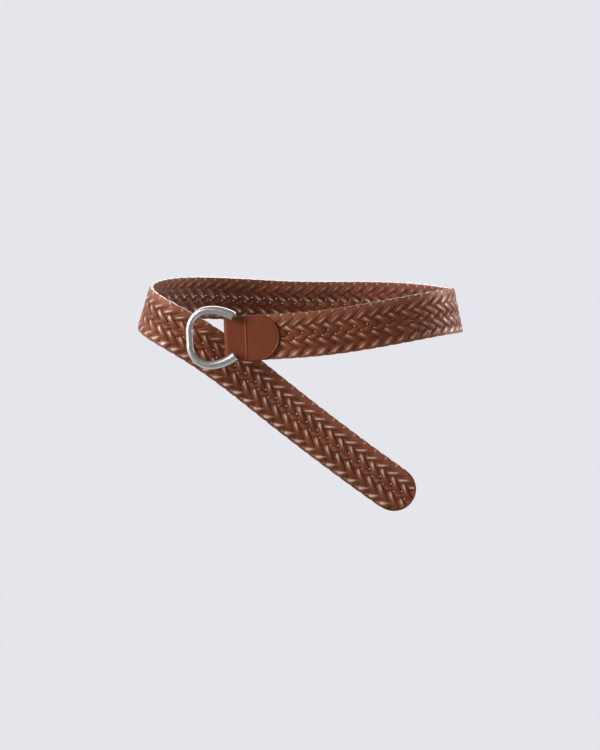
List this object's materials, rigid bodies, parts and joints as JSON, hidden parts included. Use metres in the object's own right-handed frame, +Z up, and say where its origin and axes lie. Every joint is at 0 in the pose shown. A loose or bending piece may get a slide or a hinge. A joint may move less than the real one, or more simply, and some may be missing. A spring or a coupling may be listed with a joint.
{
  "type": "leather belt",
  "caption": "Braided brown leather belt in its worn loop: flat braided strap, smooth folded leather tab, open C-shaped metal ring buckle and a free rounded tail hanging below.",
  "frame": {"origin": "centre of the waist opening, level with the middle of the strap", "axes": "+Z up the wearer's body, +X to the right along the front of the belt, +Y through the opening to the wearer's back; the buckle is on the -Y side"},
  "size_m": [0.2828, 0.1909, 0.1875],
  "materials": {
    "braid": "glazed braided lace leather, reddish brown with pale high spots",
    "tab": "smooth reddish brown leather, satin",
    "binding": "dark sealed leather edge",
    "nickel": "satin nickel plate"
  },
  "bodies": {
    "waist_loop": {"strap_right": "braid", "strap_back": "braid", "strap_left": "braid"},
    "buckle_end": {"strap_front": "braid", "tab_leather": "tab"},
    "buckle": {"buckle_ring": "nickel", "buckle_bar": "nickel"},
    "tail_upper": {"strap_tail_upper": "braid"},
    "tail_end": {"strap_tail_tip": "braid", "tip_binding": "binding"}
  },
  "joints": [
    {"name": "right_flex", "type": "hinge", "parent": "waist_loop", "child": "buckle_end", "pos_m": [0.13375, -0.02717, 0.00647], "axis": [-0.1843, 0.1674, 0.9685], "range_deg": [0, 75], "stiffness_Nm_per_rad": 0.05},
    {"name": "buckle_pivot", "type": "hinge", "parent": "buckle_end", "child": "buckle", "pos_m": [-0.06283, -0.07838, -0.00939], "axis": [-0.0481, 0.2128, 0.9759], "range_deg": [-10, 3]},
    {"name": "tail_flex", "type": "hinge", "parent": "waist_loop", "child": "tail_upper", "pos_m": [-0.03675, -0.07156, -0.05243], "axis": [0.6246, 0.0613, 0.7786], "range_deg": [-35, 35], "stiffness_Nm_per_rad": 0.05},
    {"name": "tip_flex", "type": "hinge", "parent": "tail_upper", "child": "tail_end", "pos_m": [0.0295, -0.07848, -0.10358], "axis": [0.5974, 0.0467, 0.8006], "range_deg": [-35, 35], "stiffness_Nm_per_rad": 0.05}
  ]
}
